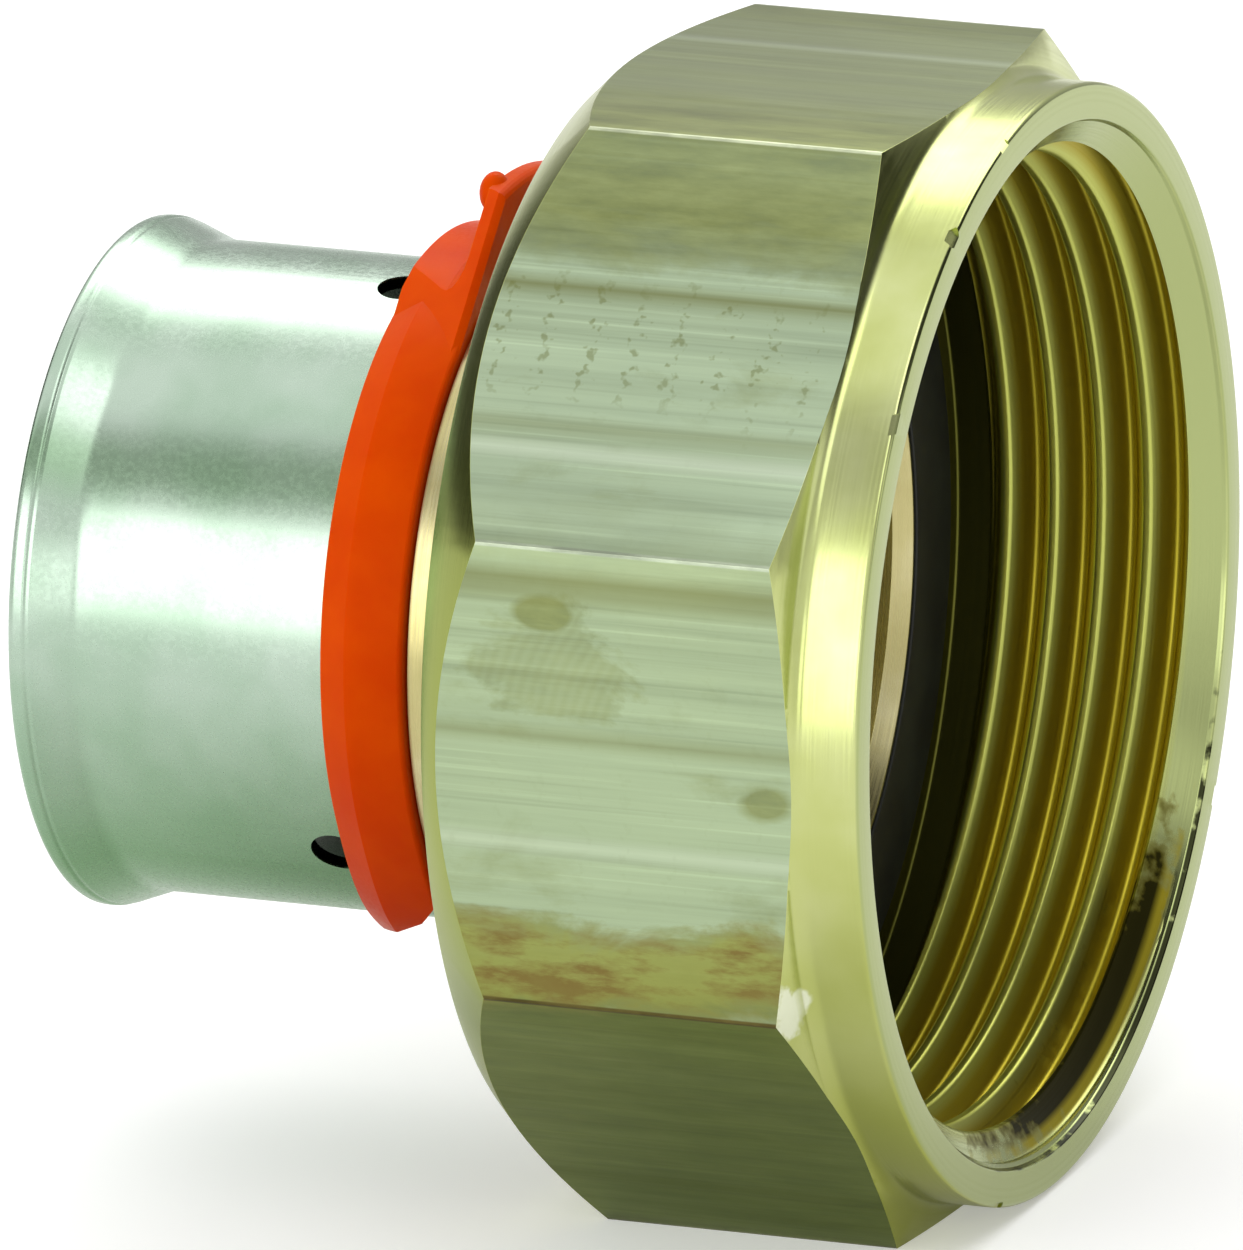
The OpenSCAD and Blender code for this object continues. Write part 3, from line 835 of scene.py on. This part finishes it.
def make_ring():
    """The ring: a band that stops short of a full turn, with slanted ends and a raised pull tab."""
    bore_r = sleeve_r + 0.03
    lip_inner_r = land_r + 0.3
    lip_x = sleeve_x + 0.03
    spare = 14  # degrees that the slant mills off each end
    start = ring_other_end_angle - spare
    sweep = ring_end_angle - ring_other_end_angle + 2 * spare
    band = turn("control_ring_band", soft([
        (ring_back_x, bore_r), (ring_back_x, ring_r - 0.7), (ring_back_x + 1.4, ring_r),
        (ring_x, ring_r, 0.3), (ring_x, lip_inner_r), (lip_x, lip_inner_r), (lip_x, bore_r)]),
        start, sweep)
    middle_x = (ring_x + ring_back_x) / 2
    for angle, side in ((ring_end_angle, 1), (ring_other_end_angle, -1)):
        slant = math.radians(ring_slant)
        normal = side * math.cos(slant) * radial(angle + 90) + math.sin(slant) * Vector((1, 0, 0))
        mill(band, radial(angle, ring_r, middle_x), normal)
    # The lower end has sprung outwards
    sprung_by, sprung_reach, sprung_from = 0.45, 7, math.radians(50)
    pick(band)
    bpy.ops.object.mode_set(mode="EDIT")
    bpy.ops.mesh.select_all(action="DESELECT")
    mesh = bmesh.from_edit_mesh(band.data)
    for vertex in mesh.verts:
        y, z = vertex.co.yz
        if z < 0 and y < 0 and math.atan2(-z, -y) > sprung_from:
            vertex.select = True
    mesh.select_flush(True)
    bpy.ops.transform.translate(
        value=radial(ring_end_angle, sprung_by) * MM, use_proportional_edit=True,
        proportional_edit_falloff="SMOOTH", proportional_size=sprung_reach * MM)
    bpy.ops.object.mode_set(mode="OBJECT")
    # Its sharp corner is blunted
    for point, normal in (((-27.0, -9.45, -13.62), (0.39, -0.15, -0.91)),
                          ((-27.6, -9.4, -13.6), (0.0, -0.27, -0.96))):
        mill(band, point, normal)
    # The tab is a low shoulder with a plate on it, cut off by two tilted planes
    root_r = ring_r - 1.0
    shoulder_r = ring_r + 0.5
    back_x = ring_back_x + 0.02
    face_x = ring_x - tab_t
    tab = turn("pull_tab", soft([
        (back_x, root_r), (back_x, shoulder_r - 0.6), (ring_back_x + 0.3, shoulder_r),
        (face_x, shoulder_r, 1.0), (face_x, tab_r), (ring_x, tab_r, 0.5), (ring_x, root_r)]),
        tab_angle - tab_half_angle, 2 * tab_half_angle)
    tilt = math.radians(tab_tilt)
    for side in (1, -1):
        angle = tab_angle + side * tab_half_angle
        normal = radial(angle, math.cos(tilt), -math.sin(tilt))
        cut(tab, radial(angle, ring_r - 0.15, ring_x), normal)
        bevel = radial(angle, math.cos(tilt), 1 - math.sin(tilt)).normalized()
        cut(tab, radial(angle, ring_r - 0.15, ring_x) - 0.3 * bevel, bevel)
    combine(band, tab, "UNION")
    # A small nub stands on the tab's rear, near its edge
    deselect()
    bpy.ops.mesh.primitive_uv_sphere_add(
        segments=32, ring_count=16, radius=nub_r * MM,
        location=radial(92, 19.4, ring_x - 1.1) * MM)
    nub = bpy.context.object
    bpy.ops.object.mode_set(mode="EDIT")
    bpy.ops.transform.resize(value=(1.0, 1.3, 1.4))
    bpy.ops.object.mode_set(mode="OBJECT")
    combine(band, nub, "UNION")
    ease(band, eased)
    band.data.materials.append(make_orange())
    smooth(band, 12)
    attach(band, "press_sleeve")
    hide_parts("control_ring")


make_union_nut()
make_gasket()
make_tailpiece()
make_sleeve()
make_ring()


# ---------------------------------------------------------------- studio

def make_floor():
    """A white table that the nut lies on with one of its flats."""
    deselect()
    bpy.ops.mesh.primitive_plane_add(size=6, location=(0, 0, cad_low.z))
    floor = bpy.context.object
    floor.name = "studio_floor"
    bpy.ops.object.transform_apply(location=True)
    material, tree, shader = new_finish("white_table", 0.0, 0.9)
    # The table is seen and mirrored a little lighter than it lights the fitting, and keeps the
    # shadow
    ray = node(tree, "LightPath")
    mirrored = node(tree, "Math", {0: ray.outputs["Is Glossy Ray"], 1: 0.1}, operation="MULTIPLY")
    lift = node(tree, "Math", {0: ray.outputs["Is Camera Ray"], 1: 0.32, 2: mirrored},
                operation="MULTIPLY_ADD")
    connect(tree, shader, {
        "Base Color": colour("E9E9E9"), "Specular IOR Level": 0.0,
        "Emission Color": (1, 1, 1, 1), "Emission Strength": lift})
    floor.data.materials.append(material)


def make_world():
    """A dim room round the table: a grey ceiling, and dark corners behind it."""
    world = bpy.data.worlds.new("dim_room")
    bpy.context.scene.world = world
    world.use_nodes = True
    tree = world.node_tree
    way = node(tree, "TexCoord").outputs["Generated"]
    parts = node(tree, "SeparateXYZ", {0: way})
    # The ceiling goes from the horizon in front, over the fitting, to the horizon behind
    front = node(tree, "Math", {0: parts.outputs[1], 1: -1.0}, operation="MULTIPLY")
    height = node(tree, "Math", {0: parts.outputs[2], 1: front}, operation="ARCTAN2")
    turned_up = node(tree, "MapRange", {0: height, 1: 0.0, 2: math.pi})
    ceiling = node(tree, "ValToRGB", {0: turned_up}, stops=[
        (0.0, 0.85), (0.2, 0.85), (0.25, 0.55), (0.34, 0.57), (0.38, 1.08), (0.53, 1.05),
        (0.565, 0.85), (0.6, 1.05), (0.8, 1.05), (0.86, 0.5), (1.0, 0.45)])
    # A doorway behind on the right, and a cupboard behind on the left
    right = node(tree, "MapRange", {0: parts.outputs[0], 1: 0.4, 2: 0.6})
    rear = node(tree, "Math", {0: parts.outputs[2], 1: 1.5, 2: parts.outputs[1]},
                operation="MULTIPLY_ADD")
    behind = node(tree, "MapRange", {0: rear, 1: 0.5, 2: 0.75})
    doorway = node(tree, "Math", {0: right, 1: behind}, operation="MULTIPLY")
    left = node(tree, "VectorMath", {0: way, 1: (-0.93, 0.36, 0.05)}, operation="DOT_PRODUCT")
    cupboard = node(tree, "MapRange", {0: left, 1: 0.9, 2: 0.96})
    dark = node(tree, "Math", {0: doorway, 1: cupboard}, operation="MAXIMUM")
    # Only the fitting sees the room: a camera low enough to look past the table sees plain white
    camera_ray = node(tree, "LightPath").outputs["Is Camera Ray"]
    room = layered(tree, ceiling, ("3A3A36", dark), ((1, 1, 1, 1), camera_ray))
    connect(tree, tree.nodes["Background"], {"Color": room})


def add_softbox(name, way, size, radiance, distance=1.2):
    """A soft box that hangs one way from the fitting and faces it, with its size in metres."""
    way = Vector(way).normalized()
    light = bpy.data.lights.new(name, "AREA")
    light.shape = "RECTANGLE"
    light.size, light.size_y = size
    light.energy = radiance * math.pi * size[0] * size[1]
    lamp = bpy.data.objects.new(name, light)
    bpy.context.scene.collection.objects.link(lamp)
    lamp.location = way * distance
    lamp.rotation_euler = way.to_track_quat("Z", "Y").to_euler()
    lamp.visible_camera = False


def make_camera():
    """Looks at the fitting from the front right of its mouth, a little from above."""
    azimuth = math.radians(20.952)
    elevation = math.radians(16.942)
    roll = math.radians(-0.960)
    distance = 1317.5
    right = Vector((math.cos(azimuth), math.sin(azimuth), 0))
    back = Vector((math.sin(azimuth) * math.cos(elevation),
                   -math.cos(azimuth) * math.cos(elevation), math.sin(elevation)))
    up = back.cross(right)
    side = math.cos(roll) * right + math.sin(roll) * up
    top = math.cos(roll) * up - math.sin(roll) * right
    # The middle of the view lies this far left of the mouth's centre, and above it
    aim_left, aim_up = 19.66, 0.93
    aim = Vector((mouth_x, 0, 0)) - aim_left * side + aim_up * top
    data = bpy.data.cameras.new("camera")
    data.sensor_width = 36
    data.lens = 831.6
    data.clip_end = 20
    camera = bpy.data.objects.new("camera", data)
    bpy.context.scene.collection.objects.link(camera)
    place = Matrix((side, top, back)).transposed().to_4x4()
    place.translation = (aim + distance * back) * MM
    camera.matrix_world = place
    bpy.context.scene.camera = camera


make_floor()
make_world()
add_softbox("front_softbox", (-0.39, -0.963, 0.268), (1.1, 0.74), 1.6)
add_softbox("rear_softbox", (0, 0.643, 0.766), (1.6, 0.68), 1.8)
add_softbox("right_softbox", (0.32, -0.42, 0.85), (0.5, 1.0), 1.05)
add_softbox("low_right_softbox", (0.37, -0.91, 0.14), (0.4, 0.42), 1.1)
make_camera()
bpy.context.scene.view_settings.view_transform = "Standard"
